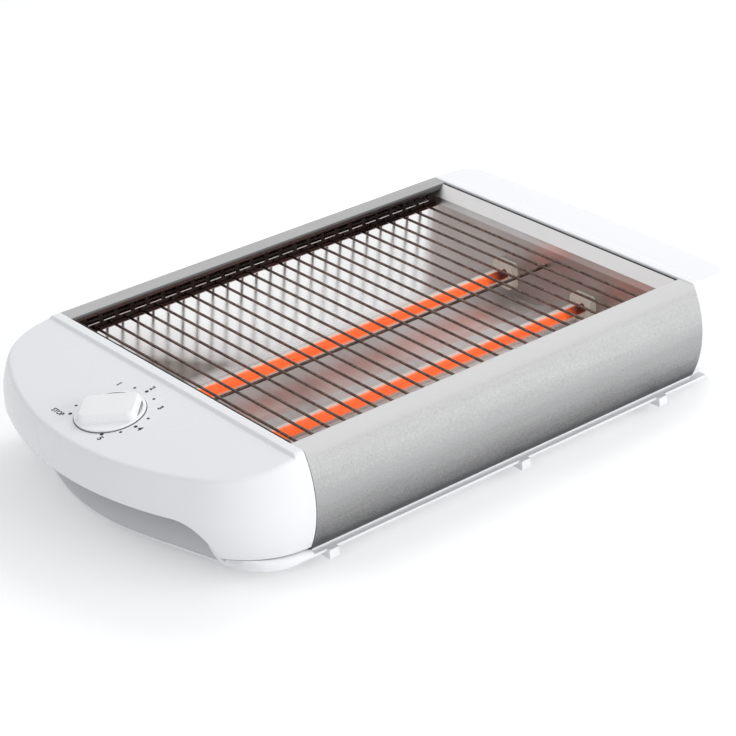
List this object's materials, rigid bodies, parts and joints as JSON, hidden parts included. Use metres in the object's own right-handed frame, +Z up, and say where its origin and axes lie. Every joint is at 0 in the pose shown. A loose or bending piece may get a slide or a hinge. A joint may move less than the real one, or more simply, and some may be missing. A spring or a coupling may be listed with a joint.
{
  "type": "horizontal toaster",
  "caption": "Flat toaster with a wire grill over two quartz heating tubes, brushed steel sides and white plastic ends; a turning timer knob on the sloping control panel.",
  "frame": {"origin": "centre of the bounding box at the surface it stands on", "axes": "+X along the body away from the control panel, +Y towards the rear steel side with the cord inlet, +Z up"},
  "size_m": [0.3956, 0.2402, 0.0719],
  "materials": {
    "white_plastic": "semi-gloss moulded",
    "brushed_steel": "brushed along the length",
    "rubber": "matt",
    "steel_parts": "plain zinc-plated",
    "perforated_steel": "dull, heat-toned",
    "dark_wire": "dark heat-toned",
    "polished_sheet": "polished, a little stained by heat",
    "quartz": "frosted, clear at the ends",
    "heating_wire": "glowing",
    "ceramic": "unglazed cream",
    "timer_case": "matt",
    "brass": "plain",
    "gland_plastic": "matt",
    "lead_sleeve": "woven glass sleeve"
  },
  "bodies": {
    "body": {"control_housing": "white_plastic", "end_cap": "white_plastic", "rear_side_panel": "brushed_steel", "front_side_panel": "brushed_steel", "base_pan": "white_plastic", "rim_lugs": "white_plastic", "feet": "rubber", "foot_screws": "steel_parts", "base_screws": "steel_parts", "rear_wire_rail": "perforated_steel", "front_wire_rail": "perforated_steel", "grill_wires": "dark_wire", "centre_rod": "dark_wire", "control_end_wall": "polished_sheet", "far_end_wall": "polished_sheet", "reflector": "polished_sheet", "reflector_brackets": "steel_parts", "front_quartz_tube": "quartz", "rear_quartz_tube": "quartz", "front_heating_coil": "heating_wire", "rear_heating_coil": "heating_wire", "tube_holders": "ceramic", "tube_plugs": "ceramic", "tube_terminals": "steel_parts", "timer_screws": "steel_parts", "timer_mount": "steel_parts", "timer_body": "timer_case", "timer_tags": "brass", "timer_bell": "steel_parts", "cord_gland": "gland_plastic", "terminal_block": "white_plastic", "supply_lead": "lead_sleeve", "return_lead": "lead_sleeve", "switched_lead": "lead_sleeve", "link_lead": "lead_sleeve"},
    "knob": {"timer_knob": "white_plastic", "timer_shaft": "steel_parts"}
  },
  "joints": [
    {"name": "timer_turn", "type": "hinge", "parent": "body", "child": "knob", "pos_m": [-0.16475, 0, 0.06454], "axis": [-0.1219, 0, 0.9925], "range_deg": [-267, 0]}
  ]
}
